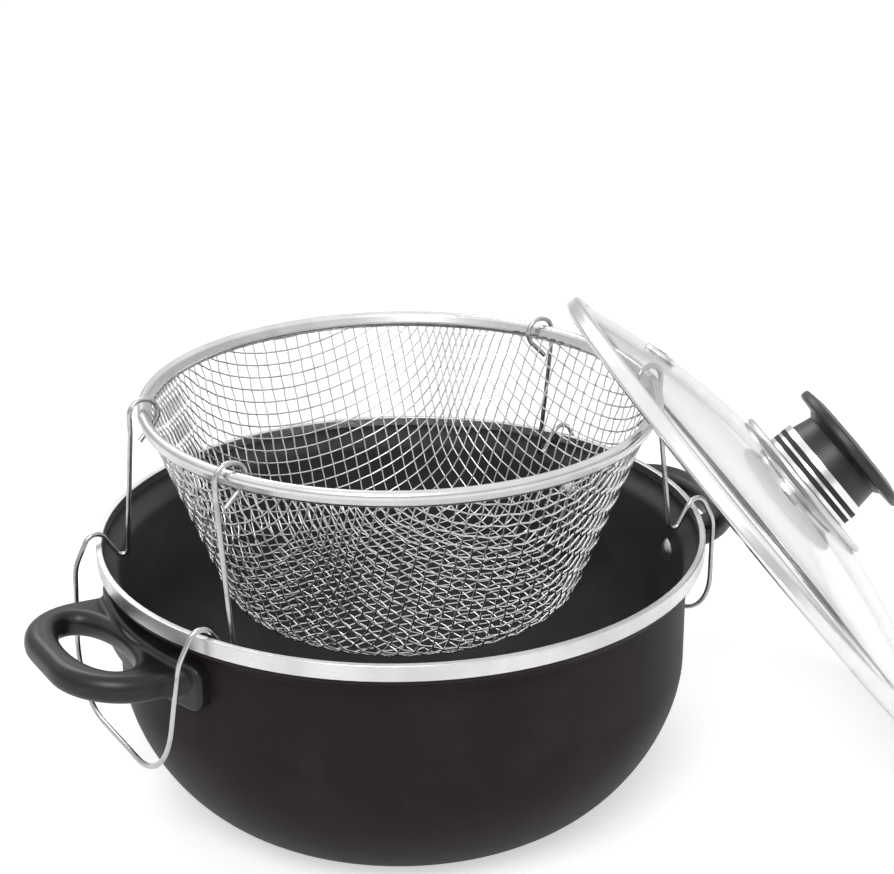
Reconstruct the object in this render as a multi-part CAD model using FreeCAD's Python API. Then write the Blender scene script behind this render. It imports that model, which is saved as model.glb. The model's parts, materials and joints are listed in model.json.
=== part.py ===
import FreeCAD, Part
import math
import os

# Stovetop deep fryer set: pot, hanging wire basket and glass lid, in mm.
# Origin on the table under the pot's centre, X along the side handles, Z up.

V = FreeCAD.Vector
X_AXIS = V(1, 0, 0)
Y_AXIS = V(0, 1, 0)
Z_AXIS = V(0, 0, 1)
ORIGIN = V(0, 0, 0)

# driving sizes of the pot
pot_height = 117.0
rim_radius = 130.0
rim_overhang = 7.5
wall_radius = rim_radius - rim_overhang
base_radius = 78.5
belly_height = 61.0
belly_fullness = 0.44
wall = 1.5
base_wall = 2.4

# clearances
seat = 0.05
part_gap = 0.3

# stainless trim crimped over the lip
trim_sheet = 0.5
trim_outer_drop = 6.5
trim_inner_drop = 4.0
flare_drop = 15.0

# moulded side handles
grip_thick = 11.6
grip_round = 5.2
grip_half_width = 39.5
root_half_width = 42.0
grip_reach = 48.5
grip_corner = 31.0
hole_near = 12.5
hole_bar = 12.2
hole_half_width = 26.5
loop_rise_deg = 5.0
loop_start = wall_radius - 4.5
pad_thick = 6.0
pad_half_deg = 22.0
pad_top = pot_height - flare_drop - 0.8
pad_height = 20.0
pad_corner = 6.0
pad_round = 2.0
root_round = 2.4
root_step = 1.4
loop_height = pad_top - pad_round - root_step - grip_thick / 2

# handle rivets
rivet_deg = 19.0
rivet_radius = 2.5
rivet_head_radius = 5.5
rivet_head = 2.6
rivet_fit = 0.03
rivet_grip = 4.0

# wire basket
rim_ring_radius = 106.6
basket_rise = 57.4
rim_ring_height = pot_height + basket_rise
roll_long = 7.2
roll_thick = 4.6
basket_depth = 86.0
basket_foot_radius = 74.0
panels = 24
columns = 2
rows = 5
net_wire = 1.2
net_thick = 1.0
floor_pitch = 17.4
floor_cells = 8
floor_least_gap = 40.0

# folding wire handles of the basket
wire_radius = 1.1
eye_deg = 22.5
eye_radius = 6.4
eye_wrap_deg = 225.0
tail = 10.0
hook_half_width = 52.0
hook_slope_deg = 57.0
hook_rest_gap = 0.6
hook_depth = 13.5
hook_rise = 8.3
arch_half_width = 45.0
arch_bottom = 52.0
arch_out = rim_radius + 4.5
arch_round = 31.0

# glass lid, in its own frame with the rim's lower edge at height 0
lid_radius = 129.5
lid_dome = 31.7
lid_band = 7.4
band_round = 2.2
glass = 3.2
glass_edge = lid_radius - 3.1
glass_seat = 5.8
glass_rise = lid_dome - glass_seat
band_ledge = 7.8
knob_hole_radius = 5.0
vent_offset = 88.0
vent_turn_deg = -9.0
vent_hole_radius = 4.6
vent_flange_radius = 8.0
vent_bore_radius = 2.6

# knob stack on the lid
dish_radius = 38.0
dish_sheet = 1.6
collar_radius = 25.0
collar_height = 10.0
groove_count = 2
groove_start = 0.9
groove_pitch = 3.7
groove_height = 2.4
groove_depth = 2.0
neck_radius = 23.0
neck_height = 11.0
knob_radius = 32.0
knob_thick = 6.0
screw_radius = 2.5
screw_fit = 0.05
washer_radius = 12.0

# how the lid leans: bearing and height of its axis, its shift along the pot's side, its gaps
lid_turn_deg = -22.9
lid_tilt_deg = 38.92
lid_side = 7.1
lid_table_gap = 0.05
lid_lean_gap = 0.4


def polar(radius, deg, z=0.0):
    a = math.radians(deg)
    return V(radius * math.cos(a), radius * math.sin(a), z)


def line(a, b):
    return Part.LineSegment(a, b).toShape()


def bezier(*points):
    curve = Part.BezierCurve()
    curve.setPoles(list(points))
    return curve.toShape()


def revolve(edges, sweep=360.0):
    face = Part.Face(Part.Wire(edges))
    return face.revolve(ORIGIN, Z_AXIS, sweep)


def profile(points):
    # closed polygon in the XZ plane from (radius, height) pairs
    corners = [V(r, 0, z) for r, z in points]
    return [line(a, b) for a, b in zip(corners, corners[1:] + corners[:1])]


def rounded_edges(points, radii):
    # polyline whose inner corners become tangent arcs; radii has one entry per corner
    edges = []
    start = points[0]
    for before, corner, after, radius in zip(points, points[1:], points[2:], radii):
        u = (before - corner).normalize()
        w = (after - corner).normalize()
        half = u.getAngle(w) / 2.0
        reach = radius / math.tan(half)
        bisector = (u + w).normalize()
        middle = corner + bisector * (radius / math.sin(half) - radius)
        first = corner + u * reach
        last = corner + w * reach
        edges.append(line(start, first))
        edges.append(Part.Arc(first, middle, last).toShape())
        start = last
    edges.append(line(start, points[-1]))
    return edges


def pipe(edges, radius):
    path = Part.Wire(edges)
    head = path.Edges[0]
    start = head.valueAt(head.FirstParameter)
    heading = head.tangentAt(head.FirstParameter)
    if (start - path.OrderedVertexes[0].Point).Length > 1e-6:
        start = head.valueAt(head.LastParameter)
        heading = head.tangentAt(head.LastParameter)
    ring = Part.Wire([Part.Circle(start, heading, radius).toShape()])
    return path.makePipeShell([ring], True, False)


def safe_fillet(shape, radius, pick):
    edges = [e for e in shape.Edges if pick(e)]
    return shape.makeFillet(radius, edges)


def turned(shape, deg, axis=Z_AXIS, about=ORIGIN):
    copy = shape.copy()
    copy.rotate(about, axis, deg)
    return copy


def save(shape, node):
    if not shape.isValid():
        raise ValueError(node + " is not a valid shape")
    shape.exportStep("parts/" + node + ".step")
    print(node, "solids", len(shape.Solids), "volume", round(shape.Volume, 1))


# pot

lip_outer = rim_radius - trim_sheet - seat
lip_inner = lip_outer - wall
lip_top = pot_height - trim_sheet - seat
flare_top = pot_height - trim_outer_drop
flare_low = pot_height - flare_drop


def pot_body():
    inner_wall = wall_radius - wall
    inner_base = base_radius - wall
    swing = (wall_radius - base_radius) * belly_fullness
    edges = [
        line(V(0, 0, 0), V(base_radius, 0, 0)),
        bezier(V(base_radius, 0, 0),
               V(base_radius + swing, 0, 0),
               V(wall_radius, 0, belly_height * (1 - belly_fullness)),
               V(wall_radius, 0, belly_height)),
        line(V(wall_radius, 0, belly_height), V(wall_radius, 0, flare_low)),
        bezier(V(wall_radius, 0, flare_low),
               V(wall_radius, 0, flare_low + 5.0),
               V(lip_outer, 0, flare_top - 5.0),
               V(lip_outer, 0, flare_top)),
        line(V(lip_outer, 0, flare_top), V(lip_outer, 0, lip_top)),
        line(V(lip_outer, 0, lip_top), V(lip_inner, 0, lip_top)),
        line(V(lip_inner, 0, lip_top), V(lip_inner, 0, flare_top + 1.0)),
        bezier(V(lip_inner, 0, flare_top + 1.0),
               V(lip_inner, 0, flare_top - 4.0),
               V(inner_wall, 0, flare_low + 6.0),
               V(inner_wall, 0, flare_low + 1.0)),
        line(V(inner_wall, 0, flare_low + 1.0), V(inner_wall, 0, belly_height)),
        bezier(V(inner_wall, 0, belly_height),
               V(inner_wall, 0, base_wall + (belly_height - base_wall) * (1 - belly_fullness)),
               V(inner_base + swing, 0, base_wall),
               V(inner_base, 0, base_wall)),
        line(V(inner_base, 0, base_wall), V(0, 0, base_wall)),
        line(V(0, 0, base_wall), V(0, 0, 0)),
    ]
    pot = revolve(edges)
    return pot.cut(Part.Compound(rivet_bores(rivet_radius + rivet_fit)))


def rim_band():
    # channel-shaped trim: outer skirt, rounded top and a shorter inner skirt
    top = pot_height
    section = [
        (rim_radius, top - trim_outer_drop),
        (rim_radius, top),
        (lip_inner - seat - trim_sheet, top),
        (lip_inner - seat - trim_sheet, top - trim_inner_drop),
        (lip_inner - seat, top - trim_inner_drop),
        (lip_inner - seat, top - trim_sheet),
        (rim_radius - trim_sheet, top - trim_sheet),
        (rim_radius - trim_sheet, top - trim_outer_drop),
    ]
    band = revolve(profile(section))
    round_top = 0.45
    return safe_fillet(band, round_top, lambda e: is_circle_at(e, pot_height))


def is_circle_at(edge, z):
    box = edge.BoundBox
    return abs(box.ZMin - z) < 1e-6 and abs(box.ZMax - z) < 1e-6


# side handles

rivet_z = pad_top - pad_height * 0.48


def rivet_lines():
    for deg in (rivet_deg, -rivet_deg):
        yield polar(wall_radius, deg, rivet_z), polar(1.0, deg)


def rivet_bores(radius):
    bores = []
    for turn in (0.0, 180.0):
        for point, out in rivet_lines():
            start = point - out * (wall + rivet_head)
            bore = Part.makeCylinder(radius, wall + rivet_head + rivet_grip + 0.2, start, out)
            bores.append(turned(bore, turn))
    return bores


def rivets():
    made = []
    inner_wall = wall_radius - wall
    for deg in (rivet_deg, -rivet_deg):
        # domed head inside the pot; its underside clears the curved wall at the head's edge
        sag = inner_wall - math.sqrt(inner_wall ** 2 - rivet_head_radius ** 2)
        shank_length = sag + seat + wall + rivet_grip
        dome = rivet_head
        sphere = (rivet_head_radius ** 2 + dome ** 2) / (2 * dome)
        cap_centre = V(0, 0, shank_length - sphere + dome)
        cap = Part.makeSphere(sphere, cap_centre)
        cap = cap.common(Part.makeCylinder(rivet_head_radius + 1, dome + 1, V(0, 0, shank_length)))
        solid = cap.fuse(Part.makeCylinder(rivet_radius, shank_length)).removeSplitter()
        # local Z turns to point at the pot's axis
        solid.rotate(ORIGIN, Y_AXIS, -90.0)
        solid.translate(V(wall_radius + rivet_grip, 0, rivet_z))
        made.append(turned(solid, deg))
    return Part.Compound(made)


def grip():
    # flat frame, u outwards and v along Y: a rounded slab with an oval finger hole, then tipped up
    points = [
        V(0, -root_half_width, 0),
        V(grip_reach, -grip_half_width, 0),
        V(grip_reach, grip_half_width, 0),
        V(0, root_half_width, 0),
    ]
    edges = rounded_edges(points, [grip_corner, grip_corner])
    edges.append(line(points[-1], points[0]))
    hole_far = grip_reach - hole_bar
    middle = V((hole_near + hole_far) / 2, 0, 0)
    oval = Part.Ellipse(middle + V(0, hole_half_width, 0), V(hole_far, 0, 0), middle)
    plan = Part.Face([Part.Wire(edges), Part.Wire([oval.toShape()])])
    plan.validate()
    slab = plan.extrude(V(0, 0, grip_thick))
    slab.translate(V(0, 0, -grip_thick / 2))
    slab = safe_fillet(slab, grip_round, is_grip_edge)
    slab.rotate(ORIGIN, Y_AXIS, -loop_rise_deg)
    slab.translate(V(loop_start, 0, loop_height))
    return slab


def is_grip_edge(edge):
    # edges round the top and underside of the slab, apart from its root
    box = edge.BoundBox
    flat = box.ZMax - box.ZMin < 1e-6
    return flat and box.XMax > 1e-6


def handle():
    outer = wall_radius + pad_thick
    pad = revolve(profile([
        (wall_radius - 2.0, pad_top - pad_height),
        (outer, pad_top - pad_height),
        (outer, pad_top),
        (wall_radius - 2.0, pad_top),
    ]), 2 * pad_half_deg)
    pad.rotate(ORIGIN, Z_AXIS, -pad_half_deg)
    pad = safe_fillet(pad, pad_corner, lambda e: abs(e.Length - pad_thick - 2.0) < 1e-6)
    pad = safe_fillet(pad, pad_round, lambda e: min_radius(e) > outer - 0.01)
    body = grip().fuse(pad).removeSplitter()
    body = safe_fillet(body, root_round, is_root_edge)
    body = body.cut(Part.makeCylinder(wall_radius + seat, pot_height))
    return body.cut(Part.Compound(rivet_bores(rivet_radius + rivet_fit)))


def is_root_edge(edge):
    # seam where the slab leaves the foot's outer face
    outer = wall_radius + pad_thick
    margin = pad_round + 0.2
    for point in edge.discretize(5):
        if abs(math.hypot(point.x, point.y) - outer) > 0.01:
            return False
        if not pad_top - pad_height + margin < point.z < pad_top - margin:
            return False
    return min(abs(v.Point.y) for v in edge.Vertexes) < root_half_width + 1.0


def min_radius(edge):
    return min(math.hypot(v.Point.x, v.Point.y) for v in edge.Vertexes)


# wire basket

roll_lean = math.atan2(rim_ring_radius - basket_foot_radius, basket_depth)
# share of the round radius at which the flat strips lie, midway between flats and corners
flatness = math.cos(math.pi / panels / 2)
# strips are turned so that the middles of their gaps face the eyes of the wire handles
strip_phase = 360.0 / panels / 4.0


def basket_rim():
    # flattened roll whose section leans with the basket's wall
    straight = roll_long - roll_thick
    r = roll_thick / 2.0
    a = V(r, 0, straight / 2)
    b = V(-r, 0, straight / 2)
    c = V(-r, 0, -straight / 2)
    d = V(r, 0, -straight / 2)
    edges = [
        Part.Arc(a, V(0, 0, straight / 2 + r), b).toShape(),
        line(b, c),
        Part.Arc(c, V(0, 0, -straight / 2 - r), d).toShape(),
        line(d, a),
    ]
    section = Part.Face(Part.Wire(edges))
    section.rotate(ORIGIN, Y_AXIS, math.degrees(roll_lean))
    section.translate(V(rim_ring_radius, 0, rim_ring_height))
    return section.revolve(ORIGIN, Z_AXIS, 360.0)


def wall_panel():
    # one flat strip of the net: a holed trapezoid, extruded by the wire's thickness
    half = math.pi / panels
    slope = math.hypot(basket_depth, rim_ring_radius - basket_foot_radius)
    top = roll_long / 2 + part_gap
    # the strip's lower corner stands on the floor's edge
    bottom = slope - seat - net_thick * math.sin(roll_lean)
    trim = net_thick * math.tan(half) + seat

    def half_width(depth):
        radius = rim_ring_radius - depth * math.sin(roll_lean)
        return radius * flatness * math.tan(half) - trim

    def corner(depth, across):
        return V(0, across, -depth)

    outline = [corner(d, side * half_width(d)) for d, side in ((top, -1), (top, 1), (bottom, 1), (bottom, -1))]
    face = Part.Face(Part.makePolygon(outline + outline[:1]))
    pitch = (bottom - top - net_wire) / rows
    holes = []
    for row in range(rows):
        d0 = top + net_wire + row * pitch
        d1 = d0 + pitch - net_wire
        for column in range(columns):
            pts = []
            for d, side in ((d0, 0), (d0, 1), (d1, 1), (d1, 0)):
                span = 2 * half_width(d) - net_wire
                left = -half_width(d) + net_wire + column * span / columns
                pts.append(corner(d, left + side * (span / columns - net_wire)))
            holes.append(Part.Face(Part.makePolygon(pts + pts[:1])))
    net = face.cut(Part.Compound(holes))
    strip = net.extrude(V(-net_thick, 0, 0))
    strip.rotate(ORIGIN, Y_AXIS, math.degrees(roll_lean))
    strip.translate(V(rim_ring_radius * flatness + net_thick / 2, 0, rim_ring_height))
    return strip


def basket_wall():
    strip = wall_panel()
    step = 360.0 / panels
    return Part.Compound([turned(strip, strip_phase + k * step) for k in range(panels)])


floor_top = rim_ring_height - basket_depth


def basket_floor():
    # flat net of square gaps, the outer ones cut off by a solid edge
    edge = rim_ring_radius * flatness - (rim_ring_radius - basket_foot_radius) + net_thick
    face = ring_face(edge)
    inside = ring_face(edge - 2 * net_wire)
    gap = floor_pitch - net_wire
    holes = []
    for i in range(floor_cells):
        for j in range(floor_cells):
            x = (i - (floor_cells - 1) / 2) * floor_pitch
            y = (j - (floor_cells - 1) / 2) * floor_pitch
            square = Part.makePlane(gap, gap, V(x - gap / 2, y - gap / 2, floor_top))
            hole = square.common(inside)
            if hole.Area > floor_least_gap:
                holes.append(hole)
    net = face.cut(Part.Compound(holes))
    return net.extrude(V(0, 0, -net_thick))


def ring_face(flat_radius):
    step = 360.0 / panels
    radius = flat_radius / math.cos(math.radians(step / 2))
    outline = [polar(radius, (k + 0.5) * step + strip_phase, floor_top) for k in range(panels)]
    return Part.Face(Part.makePolygon(outline + outline[:1]))


eye = polar(rim_ring_radius, eye_deg, rim_ring_height)


def wire_handle():
    # half of the wire: tail, eye round the basket rim, leg, hook over the pot rim, outer leg
    start_deg = math.radians(eye_wrap_deg)
    mid_deg = math.radians(eye_wrap_deg / 2)
    at = lambda a: eye + V(eye_radius * math.cos(a), 0, eye_radius * math.sin(a))
    wrap_start = at(start_deg)
    along_tail = V(-math.sin(start_deg), 0, math.cos(start_deg))
    tail_end = wrap_start + along_tail * tail
    wrap_end = at(0.0)
    band_inner = lip_inner - seat - trim_sheet
    rest_x = math.sqrt(band_inner ** 2 - hook_half_width ** 2)
    slope = math.radians(hook_slope_deg)
    reach = wire_radius + hook_rest_gap
    near = V(rest_x - reach * math.sin(slope), hook_half_width, pot_height + reach * math.cos(slope))
    climb = V(math.cos(slope), 0, math.sin(slope))
    notch = near - climb * ((near.z - pot_height + hook_depth) / climb.z)
    crest = near + climb * ((pot_height + hook_rise - near.z) / climb.z)
    shoulder = V(rim_radius - 1.0, hook_half_width, pot_height - 9.0)
    low = V(arch_out, arch_half_width, arch_bottom)
    low_far = V(arch_out, -arch_half_width, arch_bottom)
    flip = lambda p: V(p.x, -p.y, p.z)
    leg_bend = V(wrap_end.x, wrap_end.y, wrap_end.z - 7.0)
    side = [wrap_end, leg_bend, notch, crest, shoulder]
    points = side + [low, low_far] + [flip(p) for p in reversed(side)]
    corner = [12.0, 2.4, 5.0, 20.0]
    run = rounded_edges(points, corner + [arch_round, arch_round] + corner[::-1])
    first = [line(tail_end, wrap_start), Part.Arc(wrap_start, at(mid_deg), wrap_end).toShape()]
    last = [Part.Arc(flip(wrap_end), flip(at(mid_deg)), flip(wrap_start)).toShape(),
            line(flip(wrap_start), flip(tail_end))]
    return pipe(first + run + last, wire_radius)


# lid, modelled upright about Z and leaned at the end

dome_radius = (glass_edge ** 2 + glass_rise ** 2) / (2 * glass_rise)
dome_centre = lid_dome - dome_radius
lean_axis = V(math.cos(math.radians(lid_tilt_deg)) * math.cos(math.radians(lid_turn_deg)),
              math.cos(math.radians(lid_tilt_deg)) * math.sin(math.radians(lid_turn_deg)),
              math.sin(math.radians(lid_tilt_deg)))


down = (V(0, 0, -1) + lean_axis * lean_axis.z).normalize()
across = lean_axis.cross(down)


def lid_centre(distance):
    # centre of the lid's lower edge when its lowest point stands this far out on the table
    bearing = polar(1.0, lid_turn_deg)
    # the rounded edge of the band stands a little higher than its sharp corner would
    rounding = band_round * (lean_axis.z - down.z - 1.0)
    foot = bearing * distance + across * lid_side + V(0, 0, lid_table_gap - rounding)
    return foot - down * lid_radius


def eye_clearance(distance):
    # least gap between the inside of the glass and the two basket eyes under it
    hub = lid_centre(distance) + lean_axis * dome_centre
    furthest = 0.0
    for side in (1, -1):
        for deg in range(0, 360, 3):
            spin = polar(eye_radius, deg)
            point = V(eye.x + spin.x, side * eye.y, eye.z + spin.y)
            furthest = max(furthest, (point - hub).Length)
    return dome_radius - glass - wire_radius - furthest


def lean_distance():
    near = rim_radius
    far = rim_radius + 2 * lid_radius
    for _ in range(50):
        middle = (near + far) / 2
        if eye_clearance(middle) < lid_lean_gap:
            near = middle
        else:
            far = middle
    return far


lid_origin = lid_centre(lean_distance())


def leaned(shape):
    # local X turns to the steepest way down the lid, local Z to the lid's axis
    m = FreeCAD.Matrix(down.x, across.x, lean_axis.x, lid_origin.x,
                       down.y, across.y, lean_axis.y, lid_origin.y,
                       down.z, across.z, lean_axis.z, lid_origin.z,
                       0, 0, 0, 1)
    copy = shape.copy()
    copy.Placement = FreeCAD.Placement(m).multiply(copy.Placement)
    return copy


def dome_height(rho, shrink=0.0):
    return dome_centre + math.sqrt((dome_radius - shrink) ** 2 - rho ** 2)


def at_vent(shape):
    # turns a piece made on the lid's axis, about the dome's centre, up to the vent
    tilt = math.degrees(math.asin(vent_offset / dome_radius))
    return turned(turned(shape, -tilt, Y_AXIS, V(0, 0, dome_centre)), vent_turn_deg)


def lid_glass():
    outer = Part.makeSphere(dome_radius, V(0, 0, dome_centre))
    inner = Part.makeSphere(dome_radius - glass, V(0, 0, dome_centre))
    slab = Part.makeCylinder(glass_edge, lid_dome + 1.0)
    shell = outer.common(slab).cut(inner)
    shell = shell.cut(Part.makeCylinder(knob_hole_radius, lid_dome + 5.0))
    vent = Part.makeCylinder(vent_hole_radius, 5 * glass, V(0, 0, lid_dome - 3 * glass))
    return shell.cut(at_vent(vent))


def lid_rim():
    # steel band that wraps the glass edge: outer face, top lip and inner ledge
    lip = glass_edge - 2.7
    ledge_top = dome_height(glass_edge, glass) - 0.12
    section = [
        (lid_radius - band_ledge, 0.0),
        (lid_radius, 0.0),
        (lid_radius, lid_band),
        (lip, lid_band + 0.2),
        (lip, dome_height(lip) + 0.15),
        (glass_edge + seat, dome_height(glass_edge) + 0.2),
        (glass_edge + seat, ledge_top),
        (lid_radius - band_ledge, ledge_top),
    ]
    band = revolve(profile(section))
    return safe_fillet(band, band_round, is_outer_rim)


def is_outer_rim(edge):
    if len(edge.Vertexes) != 1:
        return False
    return abs(min_radius(edge) - lid_radius) < 1e-6


def vent_grommet():
    # eyelet with a flange on each side of the glass
    top = lid_dome
    low = top - glass
    tube = vent_hole_radius - seat
    lift_out = vent_flange_radius ** 2 / (2 * dome_radius)
    section = [
        (vent_bore_radius, low - 1.4),
        (vent_flange_radius - 1.0, low - 1.4),
        (vent_flange_radius - 1.0, low - lift_out - 0.1),
        (tube, low - lift_out - 0.1),
        (tube, top + 0.1),
        (vent_flange_radius, top + 0.1),
        (vent_flange_radius - 0.6, top + 1.3),
        (vent_bore_radius, top + 1.6),
    ]
    return at_vent(revolve(profile(section)))


dish_top = lid_dome + part_gap + dish_sheet
collar_top = dish_top + seat + collar_height
neck_top = collar_top + seat + neck_height


def knob_dish():
    # thin flared plate that follows the dome under the knob
    low = V(dish_radius, 0, dome_height(dish_radius) + part_gap)
    mid = V(dish_radius / 2, 0, dome_height(dish_radius / 2) + part_gap)
    hole = screw_radius + screw_fit
    inner = V(hole, 0, dome_height(hole) + part_gap)
    up = V(0, 0, dish_sheet)
    edges = [
        Part.Arc(inner, mid, low).toShape(),
        line(low, low + up),
        Part.Arc(low + up, mid + up, inner + up).toShape(),
        line(inner + up, inner),
    ]
    return revolve(edges)


def knob_collar():
    # bright collar, hollow below so that it stands on its skirt and hub
    skirt = dome_height(collar_radius) + part_gap + dish_sheet + seat
    hub = 8.0
    inside = collar_radius - 3.0
    bore = screw_radius + screw_fit
    section = [
        (bore, dish_top + seat),
        (hub, dish_top + seat),
        (hub, dish_top + 2.0),
        (inside, dish_top + 2.0),
        (inside, skirt + 0.3),
        (collar_radius, skirt + 0.1),
        (collar_radius, collar_top),
        (bore, collar_top),
    ]
    collar = revolve(profile(section))
    return collar.cut(Part.Compound(groove_rings(0.0)))


def groove_rings(gap):
    rings = []
    for k in range(groove_count):
        z = dish_top + groove_start + k * groove_pitch
        outer = Part.makeCylinder(collar_radius + 0.5, groove_height - 2 * gap, V(0, 0, z + gap))
        core = Part.makeCylinder(collar_radius - groove_depth + gap, groove_height, V(0, 0, z))
        rings.append(outer.cut(core))
    return rings


def knob():
    # neck and wide finger disc in one moulding, with a socket for the screw
    low = collar_top + seat
    top = neck_top + knob_thick
    socket = screw_radius + screw_fit
    section = [
        (socket, low),
        (neck_radius, low),
        (neck_radius - 1.5, neck_top - 2.0),
        (neck_radius + 1.0, neck_top),
        (knob_radius, neck_top + 0.5),
        (knob_radius, top - 1.5),
        (knob_radius - 8.0, top),
        (0.0, top + 0.8),
        (0.0, neck_top - 1.0),
        (socket, neck_top - 1.0),
    ]
    body = revolve(profile(section))
    return safe_fillet(body, 1.4, lambda e: len(e.Vertexes) == 1 and min_radius(e) > knob_radius - 0.01)


inner_top = lid_dome - glass


def seal_washer():
    # soft washer between the glass and the steel washer
    return ring_piece(knob_hole_radius, washer_radius, inner_top - 2.2, inner_top - 0.4)


def steel_washer():
    return ring_piece(screw_radius + screw_fit, washer_radius - 2.0, inner_top - 3.6, inner_top - 2.25)


def bush():
    # sleeve that keeps the screw off the glass
    return ring_piece(screw_radius + screw_fit, knob_hole_radius - seat, inner_top - 2.2, dish_top - dish_sheet - seat)


def ring_piece(inner, outer, low, high):
    return revolve(profile([(inner, low), (outer, low), (outer, high), (inner, high)]))


def knob_screw():
    head_top = inner_top - 3.65
    shank = Part.makeCylinder(screw_radius, neck_top - 2.0 - head_top, V(0, 0, head_top))
    head = Part.makeCylinder(5.0, 2.4, V(0, 0, head_top - 2.4))
    head = safe_fillet(head, 0.9, lambda e: is_circle_at(e, head_top - 2.4))
    slot = Part.makeBox(12.0, 1.2, 1.0, V(-6.0, -0.6, head_top - 2.4))
    return head.fuse(shank).removeSplitter().cut(slot)


def collar_rings():
    return Part.Compound(groove_rings_flush())


def groove_rings_flush():
    sleeve = Part.makeCylinder(collar_radius - part_gap, collar_top)
    return [r.common(sleeve) for r in groove_rings(seat)]


os.makedirs("parts", exist_ok=True)

save(pot_body(), "pot_body")
save(rim_band(), "rim_band")
right_handle = handle()
save(right_handle, "handle_right")
save(turned(right_handle, 180.0), "handle_left")
right_rivets = rivets()
save(right_rivets, "rivets_right")
save(turned(right_rivets, 180.0), "rivets_left")

save(basket_rim(), "basket_rim")
save(basket_wall(), "basket_wall")
save(basket_floor(), "basket_floor")
right_wire = wire_handle()
save(right_wire, "wire_handle_right")
save(turned(right_wire, 180.0), "wire_handle_left")

save(leaned(lid_glass()), "lid_glass")
save(leaned(lid_rim()), "lid_rim")
save(leaned(vent_grommet()), "vent_grommet")
save(leaned(knob_dish()), "knob_dish")
save(leaned(knob_collar()), "knob_collar")
save(leaned(collar_rings()), "collar_rings")
save(leaned(knob()), "knob")
save(leaned(knob_screw()), "knob_screw")
save(leaned(bush()), "knob_bush")
save(leaned(seal_washer()), "seal_washer")
save(leaned(steel_washer()), "steel_washer")
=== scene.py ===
import bpy
import json
import math
from mathutils import Matrix, Vector


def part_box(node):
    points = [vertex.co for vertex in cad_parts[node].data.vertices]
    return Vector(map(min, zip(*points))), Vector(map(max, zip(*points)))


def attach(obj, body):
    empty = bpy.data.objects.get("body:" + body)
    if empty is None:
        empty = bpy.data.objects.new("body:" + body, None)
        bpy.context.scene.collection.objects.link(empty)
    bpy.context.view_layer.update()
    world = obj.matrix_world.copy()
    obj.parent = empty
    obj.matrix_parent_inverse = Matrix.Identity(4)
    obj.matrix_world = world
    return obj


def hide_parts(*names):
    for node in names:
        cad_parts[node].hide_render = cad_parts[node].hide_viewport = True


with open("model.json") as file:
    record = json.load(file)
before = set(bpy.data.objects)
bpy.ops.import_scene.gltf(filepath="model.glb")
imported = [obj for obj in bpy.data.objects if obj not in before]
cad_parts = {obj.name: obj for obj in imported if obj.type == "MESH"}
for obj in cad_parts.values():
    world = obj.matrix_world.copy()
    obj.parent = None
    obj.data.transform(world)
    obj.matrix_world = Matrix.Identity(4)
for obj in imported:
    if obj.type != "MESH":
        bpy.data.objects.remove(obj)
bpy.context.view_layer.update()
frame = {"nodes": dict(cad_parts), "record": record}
nodes = frame["nodes"]
print("stage: frame loaded,", len(nodes), "nodes")


def deselectAll():
    bpy.ops.object.select_all(action="DESELECT")


def pickOnly(*pieces):
    deselectAll()
    for piece in pieces:
        piece.select_set(True)
    bpy.context.view_layer.objects.active = pieces[0]


# shader maths

class Value:
    # one output socket that answers to the plain operators
    def __init__(self, paint, socket):
        self.paint = paint
        self.socket = socket

    def math(self, operation, first, second):
        return self.paint.node("ShaderNodeMath", {"operation": operation}, {0: first, 1: second})

    def __add__(self, other):
        return self.math("ADD", self, other)

    def __radd__(self, other):
        return self.math("ADD", other, self)

    def __sub__(self, other):
        return self.math("SUBTRACT", self, other)

    def __rsub__(self, other):
        return self.math("SUBTRACT", other, self)

    def __mul__(self, other):
        return self.math("MULTIPLY", self, other)

    def __rmul__(self, other):
        return self.math("MULTIPLY", other, self)

    def __pow__(self, other):
        return self.math("POWER", self, other)


# the Mix node's colour sockets, which share their names with those of its other types
colourMix = {"factor": 0, "first": 6, "second": 7, "result": 2}


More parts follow.
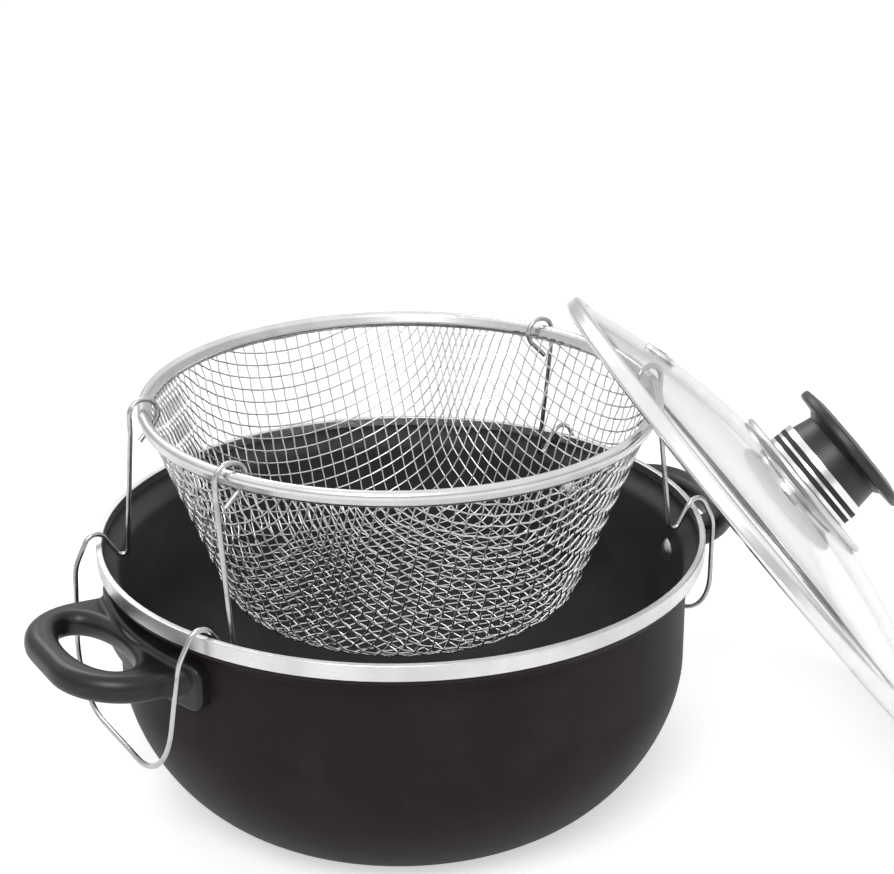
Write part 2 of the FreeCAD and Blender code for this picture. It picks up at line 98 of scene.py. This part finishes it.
class Paint:
    # the node tree of one material, or of the world
    def __init__(self, owner):
        owner.use_nodes = True
        self.owner = owner
        self.tree = owner.node_tree
        self.tree.nodes.clear()

    def node(self, kind, settings, sockets, give=0):
        made = self.tree.nodes.new(kind)
        for key, value in settings.items():
            setattr(made, key, value)
        for key, value in sockets.items():
            if isinstance(value, Value):
                self.tree.links.new(value.socket, made.inputs[key])
            else:
                made.inputs[key].default_value = value
        return Value(self, made.outputs[give]) if made.outputs else None

    def place(self):
        return self.node("ShaderNodeTexCoord", {}, {}, "Object")

    def axes(self, vector):
        return [self.node("ShaderNodeSeparateXYZ", {}, {0: vector}, k) for k in range(3)]

    def vector(self, x, y, z):
        return self.node("ShaderNodeCombineXYZ", {}, {0: x, 1: y, 2: z})

    def noise(self, vector, scale, detail=3.0, roughness=0.55):
        sockets = {"Vector": vector, "Scale": scale, "Detail": detail, "Roughness": roughness}
        return self.node("ShaderNodeTexNoise", {}, sockets)

    def ramp(self, value, low, high):
        # 0 below low, 1 above high, smooth between
        settings = {"interpolation_type": "SMOOTHSTEP"}
        sockets = {"Value": value, "From Min": low, "From Max": high}
        return self.node("ShaderNodeMapRange", settings, sockets)

    def mix(self, factor, first, second):
        # each colour is a plain triple or a socket
        ends = [end if isinstance(end, Value) else (*end, 1) for end in (first, second)]
        sockets = {
            colourMix["factor"]: factor, colourMix["first"]: ends[0], colourMix["second"]: ends[1],
        }
        return self.node("ShaderNodeMix", {"data_type": "RGBA"}, sockets, colourMix["result"])

    def bump(self, height, depth, strength):
        sockets = {"Height": height, "Distance": depth, "Strength": strength}
        return self.node("ShaderNodeBump", {}, sockets)

    def finish(self, sockets):
        shader = self.node("ShaderNodeBsdfPrincipled", {}, sockets)
        self.node("ShaderNodeOutputMaterial", {}, {"Surface": shader})
        return self.owner


def newPaint(name):
    return Paint(bpy.data.materials.new(name))


# finishes

nonStick = {
    "outside": (0.0215, 0.016, 0.016), "outsideWorn": (0.031, 0.0245, 0.024),
    "inside": (0.057, 0.057, 0.0575), "insideWorn": (0.079, 0.079, 0.0795),
    "edge": 0.01, "wornBand": (0.55, 0.95), "shine": 0.08,
    "gloss": 0.4, "cloudGloss": 0.16, "cloudMiddle": 0.5, "speckGloss": 0.06,
    "cloudScale": 26.0, "speckScale": 900.0, "speckShare": 0.35,
    "pebbleDepth": 0.00012, "pebbleStrength": 0.35,
}


def nonStickPaint():
    # sprayed coating: warm black outside, neutral inside, fine pebble and cloudy gloss
    p = newPaint("nonStick")
    here = p.place()
    x, y, _ = p.axes(here)
    facing = p.axes(p.node("ShaderNodeNewGeometry", {}, {}, "Normal"))
    outward = p.ramp(facing[0] * x + facing[1] * y, -nonStick["edge"], nonStick["edge"])
    cloud = p.noise(here, nonStick["cloudScale"])
    speck = p.noise(here, nonStick["speckScale"], detail=2.0)
    worn = p.ramp(cloud + speck * nonStick["speckShare"], *nonStick["wornBand"])
    outside = p.mix(worn, nonStick["outside"], nonStick["outsideWorn"])
    inside = p.mix(worn, nonStick["inside"], nonStick["insideWorn"])
    cloudy = nonStick["cloudGloss"] * (cloud - nonStick["cloudMiddle"])
    return p.finish({
        "Base Color": p.mix(outward, inside, outside),
        "Roughness": nonStick["gloss"] + cloudy + nonStick["speckGloss"] * speck,
        "Specular IOR Level": nonStick["shine"],
        "Normal": p.bump(speck, nonStick["pebbleDepth"], nonStick["pebbleStrength"]),
    })


handleBlack = {
    "black": (0.0125, 0.0125, 0.013), "grey": (0.024, 0.024, 0.025), "gloss": 0.30, "shine": 0.4,
    "flowScale": 55.0, "flowBand": (0.4, 0.75), "flowGloss": 0.14, "flowMiddle": 0.4,
    "grainScale": 1500.0, "grainGloss": 0.05, "grainDepth": 0.00008, "grainStrength": 0.3,
}
knobBlack = dict(
    handleBlack, black=(0.021, 0.021, 0.0215), grey=(0.036, 0.036, 0.037), gloss=0.32, shine=0.5,
)


def mouldingPaint(name, spec):
    # moulded thermoset: dull flow clouds and a very fine grain
    p = newPaint(name)
    here = p.place()
    flow = p.noise(here, spec["flowScale"], detail=4.0)
    grain = p.noise(here, spec["grainScale"], detail=2.0)
    flowing = spec["flowGloss"] * (flow - spec["flowMiddle"])
    return p.finish({
        "Base Color": p.mix(p.ramp(flow, *spec["flowBand"]), spec["black"], spec["grey"]),
        "Roughness": spec["gloss"] + flowing + spec["grainGloss"] * grain,
        "Normal": p.bump(grain, spec["grainDepth"], spec["grainStrength"]),
        "Specular IOR Level": spec["shine"],
    })


steel = {
    "shades": {  # bright, dull, gloss
        "trimSteel": ((0.78, 0.78, 0.772), (0.64, 0.64, 0.635), 0.28),
        "rollSteel": ((0.82, 0.82, 0.815), (0.66, 0.66, 0.66), 0.24),
        "lidSteel": ((0.92, 0.92, 0.915), (0.82, 0.82, 0.815), 0.22),
        "dishSteel": ((0.82, 0.82, 0.82), (0.68, 0.68, 0.68), 0.3),
    },
    "ringScale": 2600.0, "ringShare": 0.4, "ringGloss": 0.05, "ringMiddle": 0.5,
    "ringDepth": 0.00003, "ringStrength": 0.25,
    "cloudScale": 38.0, "cloudGloss": 0.12, "cloudMiddle": 0.45, "dullBand": (0.5, 0.95),
}


def steelPaint(name, centre=(0, 0, 0), tilt=(0, 0, 0)):
    # sheet steel spun about an axis: fine rings, a few handling clouds
    bright, dull, gloss = steel["shades"][name]
    p = newPaint(name)
    here = p.node("ShaderNodeMapping", {"vector_type": "TEXTURE"},
                  {"Vector": p.place(), "Location": centre, "Rotation": tilt})
    x, y, z = p.axes(here)
    radius = (x * x + y * y) ** 0.5
    across = p.vector(radius * steel["ringScale"], z * steel["ringScale"], 0.0)
    rings = p.noise(across, 1.0, detail=2.0)
    cloud = p.noise(here, steel["cloudScale"])
    dulled = p.ramp(cloud + steel["ringShare"] * rings, *steel["dullBand"])
    cloudy = steel["cloudGloss"] * (cloud - steel["cloudMiddle"])
    ringed = steel["ringGloss"] * (rings - steel["ringMiddle"])
    return p.finish({
        "Base Color": p.mix(dulled, bright, dull), "Metallic": 1.0,
        "Roughness": gloss + cloudy + ringed,
        "Normal": p.bump(rings, steel["ringDepth"], steel["ringStrength"]),
    })


wire = {
    "shades": {  # bright, dull, gloss
        "handleWire": ((0.58, 0.58, 0.58), (0.34, 0.34, 0.345), 0.2),
        "netWire": ((0.76, 0.76, 0.755), (0.5, 0.5, 0.5), 0.24),
        "rivetSteel": ((0.74, 0.74, 0.74), (0.55, 0.55, 0.55), 0.26),
    },
    "patchScale": 120.0, "patchGloss": 0.14, "patchMiddle": 0.45, "dullBand": (0.45, 0.8),
    "fineScale": 1400.0, "fineGloss": 0.04, "fineDepth": 0.00003, "fineStrength": 0.25,
}


def wirePaint(name):
    # drawn and plated wire: darker patches in the plating, faint die marks
    bright, dull, gloss = wire["shades"][name]
    p = newPaint(name)
    here = p.place()
    patch = p.noise(here, wire["patchScale"])
    fine = p.noise(here, wire["fineScale"], detail=2.0)
    patchy = wire["patchGloss"] * (patch - wire["patchMiddle"])
    return p.finish({
        "Base Color": p.mix(p.ramp(patch, *wire["dullBand"]), bright, dull), "Metallic": 1.0,
        "Roughness": gloss + patchy + wire["fineGloss"] * fine,
        "Normal": p.bump(fine, wire["fineDepth"], wire["fineStrength"]),
    })


glass = {
    "tint": (0.94, 0.945, 0.945, 1), "index": 1.45,
    "smearScale": 24.0, "smearBand": (0.5, 0.8), "smearRoughness": 0.035,
}


def glassPaint():
    # clear toughened glass with a breath of smears
    p = newPaint("lidGlass")
    smear = p.ramp(p.noise(p.place(), glass["smearScale"], detail=4.0), *glass["smearBand"])
    return p.finish({
        "Base Color": glass["tint"], "Roughness": glass["smearRoughness"] * smear,
        "IOR": glass["index"], "Transmission Weight": 1.0,
    })


rubber = {
    "shades": {  # dark, pale, grain scale
        "grooveBlack": ((0.012, 0.012, 0.012), (0.03, 0.03, 0.03), 700.0),
        "sealRubber": ((0.02, 0.02, 0.02), (0.045, 0.045, 0.045), 500.0),
    },
    "roughness": 0.62, "bloomScale": 90.0, "bloomBand": (0.4, 0.8), "bloomMiddle": 0.5,
    "bloomRoughness": 0.2, "grainDepth": 0.0001, "grainStrength": 0.3,
}


def rubberPaint(name):
    # matt black rubber with a grey bloom
    dark, pale, grainScale = rubber["shades"][name]
    p = newPaint(name)
    here = p.place()
    bloom = p.noise(here, rubber["bloomScale"])
    grain = p.noise(here, grainScale, detail=2.0)
    blooming = rubber["bloomRoughness"] * (bloom - rubber["bloomMiddle"])
    return p.finish({
        "Base Color": p.mix(p.ramp(bloom, *rubber["bloomBand"]), dark, pale),
        "Roughness": rubber["roughness"] + blooming,
        "Normal": p.bump(grain, rubber["grainDepth"], rubber["grainStrength"]),
    })


# the lid's spun pieces turn about its leaning axis
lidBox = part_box("lid_rim")
lidCentre = tuple((lidBox[0] + lidBox[1]) / 2)
joints = frame["record"]["behaviour"]["joints"]
lidAxis = Vector(next(joint for joint in joints if joint["name"] == "lid_lift")["axis"])
lidTurn = tuple(Vector((0, 0, 1)).rotation_difference(lidAxis).to_euler())

coating = nonStickPaint()
handleMoulding = mouldingPaint("handleMoulding", handleBlack)
knobMoulding = mouldingPaint("knobMoulding", knobBlack)
trimSteel = steelPaint("trimSteel")
rollSteel = steelPaint("rollSteel")
lidSteel = steelPaint("lidSteel", lidCentre, lidTurn)
dishSteel = steelPaint("dishSteel", lidCentre, lidTurn)
handleWire = wirePaint("handleWire")
netWire = wirePaint("netWire")
rivetSteel = wirePaint("rivetSteel")
clearGlass = glassPaint()
grooveBlack = rubberPaint("grooveBlack")
sealRubber = rubberPaint("sealRubber")

finishes = {
    "pot_body": coating, "rim_band": trimSteel,
    "handle_right": handleMoulding, "handle_left": handleMoulding,
    "rivets_right": rivetSteel, "rivets_left": rivetSteel,
    "basket_rim": rollSteel, "basket_wall": netWire, "basket_floor": netWire,
    "wire_handle_right": handleWire, "wire_handle_left": handleWire,
    "lid_glass": clearGlass, "lid_rim": lidSteel, "vent_grommet": lidSteel,
    "knob_dish": lidSteel, "knob_collar": lidSteel, "collar_rings": grooveBlack,
    "knob": knobMoulding, "knob_screw": rivetSteel,
    "knob_bush": sealRubber, "seal_washer": sealRubber, "steel_washer": rivetSteel,
}
for nodeName, finish in finishes.items():
    nodes[nodeName].data.materials.clear()
    nodes[nodeName].data.materials.append(finish)
print("stage: finishes on", len(finishes), "nodes")


# woven net of the basket: one square cloth pressed into a round bowl, so that its cells stay
# square along X and Y and close to diamonds between them; cells are counted from the middle

net = {
    "pitch": 0.0057, "cells": 32, "wireRadius": 0.0004, "wireBevel": 1, "weave": 0.00038,
    "topZ": 0.1738, "rimRadius": 0.1064, "rimZ": 0.1744, "slope": 0.379,
    "floorZ": 0.0884, "corner": 0.015, "settling": 24,
}


class Bowl:
    # section of the basket: flat floor, rounded corner, leaning wall
    def __init__(self, spec):
        self.floorZ = spec["floorZ"]
        self.corner = spec["corner"]
        self.bend = math.pi / 2 - math.atan(spec["slope"])
        foot = spec["rimRadius"] - spec["slope"] * (spec["rimZ"] - spec["floorZ"])
        self.flat = foot - self.corner * math.tan(self.bend / 2)

    def section(self, reach):
        # radius, height and outward normal at a way along the section
        if reach <= self.flat:
            return reach, self.floorZ, 0.0, -1.0
        angle = min((reach - self.flat) / self.corner, self.bend)
        r = self.flat + self.corner * math.sin(angle)
        z = self.floorZ + self.corner * (1 - math.cos(angle))
        rest = max(0.0, reach - self.flat - self.corner * self.bend)
        onWall = (r + rest * math.cos(angle), z + rest * math.sin(angle))
        return *onWall, math.sin(angle), -math.cos(angle)

    def nearest(self, r, z):
        # way along the section that lies nearest to a radius and a height
        if r <= self.flat:
            return r
        down = self.floorZ + self.corner - z
        angle = math.atan2(r - self.flat, down)
        if angle < self.bend:
            return self.flat + self.corner * angle
        tangentR = self.flat + self.corner * math.sin(self.bend)
        tangentZ = self.floorZ + self.corner * (1 - math.cos(self.bend))
        along = (r - tangentR) * math.cos(self.bend) + (z - tangentZ) * math.sin(self.bend)
        return self.flat + self.corner * self.bend + along

    def point(self, reach, turn):
        # place and outward normal
        r, z, normalR, normalZ = self.section(reach)
        out = Vector((math.cos(turn), math.sin(turn), 0))
        return out * r + Vector((0, 0, z)), out * normalR + Vector((0, 0, normalZ))

    def press(self, p):
        return self.point(self.nearest(math.hypot(p.x, p.y), p.z), math.atan2(p.y, p.x))


def drapeQuarter(bowl):
    # crossings of one quarter of the cloth, each one pitch from its two earlier neighbours
    pitch = net["pitch"]
    count = net["cells"]
    grid = {}
    for k in range(count + 1):
        grid[k, 0] = bowl.point(k * pitch, 0.0)
        grid[0, k] = bowl.point(k * pitch, math.pi / 2)
    for i in range(1, count + 1):
        for j in range(1, count + 1):
            a = grid[i - 1, j][0]
            b = grid[i, j - 1][0]
            guess = a + b - grid[i - 1, j - 1][0]
            for _ in range(net["settling"]):
                fromA = a + (guess - a).normalized() * pitch
                guess = (fromA + b + (guess - b).normalized() * pitch) / 2
                guess = bowl.press(guess)[0]
            grid[i, j] = bowl.press(guess)
    return grid


def netFamily(name, quarter, across):
    # a grid laid out on the draped crossings, of which only one direction's edges are kept
    deselectAll()
    side = 2 * net["cells"]
    bpy.ops.mesh.primitive_grid_add(x_subdivisions=side, y_subdivisions=side, size=side)
    piece = bpy.context.object
    piece.name = name
    sign = 1 if across else -1
    crossing = []
    for v in piece.data.vertices:
        i = round(v.co.x)
        j = round(v.co.y)
        crossing.append((i, j))
        spot, normal = quarter[abs(i), abs(j)]
        over = net["weave"] * sign * (1 if (i + j) % 2 else -1)
        spot = spot + normal * over
        x = math.copysign(spot.x, i) if i else 0.0
        y = math.copysign(spot.y, j) if j else 0.0
        v.co = (x, y, spot.z)
    bpy.ops.object.mode_set(mode="EDIT")
    bpy.ops.mesh.select_mode(type="EDGE")
    bpy.ops.mesh.select_all(action="DESELECT")
    bpy.ops.object.mode_set(mode="OBJECT")
    for edge in piece.data.edges:
        first, second = (crossing[k] for k in edge.vertices)
        edge.select = (first[1] != second[1]) == across
    bpy.ops.object.mode_set(mode="EDIT")
    bpy.ops.mesh.delete(type="EDGE_FACE")
    bpy.ops.mesh.select_all(action="SELECT")
    bpy.ops.mesh.bisect(plane_co=(0, 0, net["topZ"]), plane_no=(0, 0, 1), clear_outer=True)
    bpy.ops.object.mode_set(mode="OBJECT")
    bpy.ops.object.convert(target="CURVE")
    piece.data.bevel_depth = net["wireRadius"]
    piece.data.bevel_resolution = net["wireBevel"]
    piece.data.use_fill_caps = True
    bpy.ops.object.convert(target="MESH")
    return bpy.context.object


quarter = drapeQuarter(Bowl(net))
warp = netFamily("basketNet", quarter, True)
weft = netFamily("basketNetWeft", quarter, False)
pickOnly(warp, weft)
bpy.ops.object.join()
basketNet = bpy.context.object
bpy.ops.object.shade_smooth()
basketNet.data.materials.clear()
basketNet.data.materials.append(netWire)
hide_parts("basket_wall", "basket_floor")
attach(basketNet, "basket")
print("stage: basket net,", len(basketNet.data.polygons), "faces")


# bright saucer under the knob, with a rolled edge that stands a little proud of the pressed sheet;
# neckAt and topFrom are counted in radii of the roll, inwards from the outer edge

dish = {
    "radius": 0.038, "sheet": 0.0016, "sag": 0.00225, "hole": 0.0026, "rings": 7,
    "edge": 0.0029, "edgeSteps": 8, "neckAt": 2.6, "neckRise": 0.0002, "topFrom": 3,
    "around": 96, "weld": 0.000001, "creaseDeg": 40,
}


def dishRise(r):
    return dish["sag"] * (1 - (r / dish["radius"]) ** 2)


def dishSection():
    # radius and height from the middle of the outer edge: underside outwards, roll, top inwards
    half = dish["sheet"] / 2
    bend = dish["edge"] / 2
    width = dish["radius"] - dish["hole"]
    steps = [dish["hole"] + width * k / dish["rings"] for k in range(dish["rings"] + 1)]
    rollRadius = dish["radius"] - bend
    section = [(r, dishRise(r) - half) for r in steps if r < rollRadius]
    for k in range(dish["edgeSteps"] + 1):
        angle = math.pi * (k / dish["edgeSteps"] - 0.5)
        section.append((rollRadius + bend * math.cos(angle), bend - half + bend * math.sin(angle)))
    neck = dish["radius"] - dish["neckAt"] * bend
    section.append((neck, dishRise(neck) + half + dish["neckRise"]))
    top = dish["radius"] - dish["topFrom"] * bend
    section += [(r, dishRise(r) + half) for r in reversed(steps) if r < top]
    return section


def turnedPiece(name, section, spec):
    # a ring of points drawn out along a closed section, as on a lathe
    deselectAll()
    radius, height = section[0]
    bpy.ops.mesh.primitive_circle_add(
        vertices=spec["around"], radius=radius, location=(0, 0, height))
    piece = bpy.context.object
    piece.name = name
    bpy.ops.object.transform_apply(location=True)
    bpy.ops.object.mode_set(mode="EDIT")
    bpy.ops.mesh.select_all(action="SELECT")
    for nextRadius, nextHeight in section[1:] + section[:1]:
        move = {"value": (0, 0, nextHeight - height)}
        bpy.ops.mesh.extrude_region_move(TRANSFORM_OT_translate=move)
        grow = nextRadius / radius
        bpy.ops.transform.resize(value=(grow, grow, 1), center_override=(0, 0, nextHeight))
        radius, height = nextRadius, nextHeight
    bpy.ops.mesh.select_all(action="SELECT")
    bpy.ops.mesh.remove_doubles(threshold=spec["weld"])
    bpy.ops.mesh.normals_make_consistent(inside=False)
    bpy.ops.object.mode_set(mode="OBJECT")
    bpy.ops.object.shade_smooth_by_angle(angle=math.radians(spec["creaseDeg"]))
    return piece


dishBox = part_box("knob_dish")
knobDish = turnedPiece("knobDish", dishSection(), dish)
knobDish.rotation_euler = lidTurn
knobDish.location = (dishBox[0] + dishBox[1]) / 2
bpy.ops.object.transform_apply(location=True, rotation=True)
knobDish.data.materials.append(dishSteel)
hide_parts("knob_dish")
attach(knobDish, "lid")
print("stage: knob dish,", len(knobDish.data.polygons), "faces")


# floor, light and camera

studio = {
    "floorZ": -0.0006, "floorSize": 8.0, "floorShade": (0.80, 0.80, 0.80, 1),
    "floorGlow": 0.64, "nearGlow": 0.86, "fade": (0.7, 2.4), "floorMirror": 0.5,
    "white": (1, 1, 1, 1), "skyLight": 0.45, "wallDim": 0.46, "wallBand": (0.1, 0.65),
    "lamps": [  # place, target, size, watts, seen in metal and glass
        ((-0.9, -1.0, 1.5), (0, 0, 0.1), 1.0, 17.0, True),
        ((1.3, -0.7, 1.1), (0, 0, 0.1), 1.0, 8.0, False),
        ((0.1, 1.3, 1.3), (0, 0, 0.15), 0.9, 7.0, True),
    ],
}


def seenDirectly(p, mirrored=1.0):
    # 1 for what the lens or a pane of glass shows, and the given share of it for a mirror
    camera, glossy, through = [
        p.node("ShaderNodeLightPath", {}, {}, ray)
        for ray in ("Is Camera Ray", "Is Glossy Ray", "Is Transmission Ray")]
    return p.node("ShaderNodeClamp", {}, {"Value": camera + mirrored * glossy + through})


def floorPaint():
    # glows more with the distance, so that floor and sky meet without a line
    p = newPaint("floorWhite")
    x, y, _ = p.axes(p.place())
    far = p.ramp((x * x + y * y) ** 0.5, *studio["fade"])
    matt = p.node("ShaderNodeBsdfDiffuse", {}, {"Color": studio["floorShade"]})
    glow = p.node(
        "ShaderNodeEmission", {}, {"Color": studio["white"], "Strength": studio["floorGlow"]})
    lit = p.node("ShaderNodeAddShader", {}, {0: matt, 1: glow})
    glowing = studio["nearGlow"] + (1 - studio["nearGlow"]) * far
    seen = seenDirectly(p, studio["floorMirror"]) * glowing
    both = p.node("ShaderNodeMixShader", {}, {0: seen, 1: matt, 2: lit})
    p.node("ShaderNodeOutputMaterial", {}, {"Surface": both})
    return p.owner


deselectAll()
bpy.ops.mesh.primitive_plane_add(size=studio["floorSize"], location=(0, 0, studio["floorZ"]))
floor = bpy.context.object
floor.name = "floor"
floor.data.materials.append(floorPaint())


def skyPaint():
    # white where it is looked at, weaker as a lamp, and with dim walls for metal to mirror
    world = bpy.data.worlds.new("studioSky")
    p = Paint(world)
    strength = studio["skyLight"] + (1 - studio["skyLight"]) * seenDirectly(p)
    mirrored = p.node("ShaderNodeLightPath", {}, {}, "Is Glossy Ray")
    height = p.axes(p.node("ShaderNodeTexCoord", {}, {}, "Generated"))[2]
    wall = mirrored * studio["wallDim"] * (1 - p.ramp(height, *studio["wallBand"]))
    sockets = {"Color": studio["white"], "Strength": strength * (1 - wall)}
    sky = p.node("ShaderNodeBackground", {}, sockets)
    p.node("ShaderNodeOutputWorld", {}, {"Surface": sky})
    return world


bpy.context.scene.world = skyPaint()
for number, (place, target, size, watts, mirrored) in enumerate(studio["lamps"]):
    bpy.ops.object.light_add(type="AREA", location=place)
    lamp = bpy.context.object
    lamp.name = "softbox" + str(number)
    lamp.data.shape = "DISK"
    lamp.data.size = size
    lamp.data.energy = watts
    lamp.visible_glossy = mirrored
    lamp.visible_transmission = mirrored
    lamp.rotation_euler = (Vector(target) - Vector(place)).to_track_quat("-Z", "Y").to_euler()

lens = {
    "place": (-0.39871, -0.69059, 0.47264), "forward": (0.48469, 0.79339, -0.36824),
    "roll": -0.0055, "focal": 81.6, "sensor": 36.0, "nearest": 0.01,
}
bpy.ops.object.camera_add(location=lens["place"])
camera = bpy.context.object
forward = Vector(lens["forward"]).normalized()
level = forward.cross(Vector((0, 0, 1))).normalized()
upright = level.cross(forward)
right = level * math.cos(lens["roll"]) + upright * math.sin(lens["roll"])
up = right.cross(forward)
turn = Matrix((right, up, -forward)).transposed()
camera.matrix_world = Matrix.Translation(lens["place"]) @ turn.to_4x4()
camera.data.sensor_width = lens["sensor"]
camera.data.lens = lens["focal"]
camera.data.clip_start = lens["nearest"]
bpy.context.scene.camera = camera
bpy.context.scene.view_settings.view_transform = "Standard"
print("stage: floor, light and camera")
